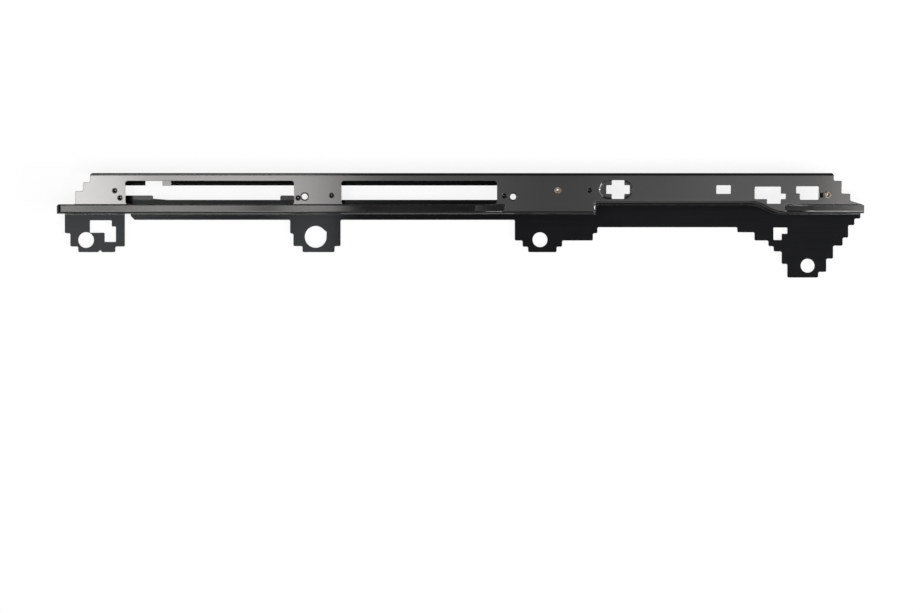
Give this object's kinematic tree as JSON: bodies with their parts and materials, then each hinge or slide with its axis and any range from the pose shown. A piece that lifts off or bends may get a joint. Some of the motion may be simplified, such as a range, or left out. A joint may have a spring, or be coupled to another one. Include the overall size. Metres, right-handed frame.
{
  "type": "fender bracket",
  "caption": "Long pressed steel channel that carries a fender's upper edge, with a stepped web, windows and flat mounting tabs.",
  "frame": {"origin": "middle of the overall box, at the height of the lip's foot", "axes": "+X along the bracket from the end with the narrow tab to the end with the wide tab, +Y from the tabs to the lip, +Z from the tabs' plane up to the web"},
  "size_m": [0.81, 0.1042, 0.0296],
  "materials": {
    "rail_coat": "semi-gloss black coat",
    "strip_coat": "semi-gloss black coat",
    "nut_coat": "satin black coat",
    "yellow_zinc": "yellow zinc plate"
  },
  "bodies": {
    "root": {"rail": "rail_coat", "closing_strip": "strip_coat", "weld_nuts": "nut_coat", "rivet_nuts": "yellow_zinc"}
  },
  "joints": []
}
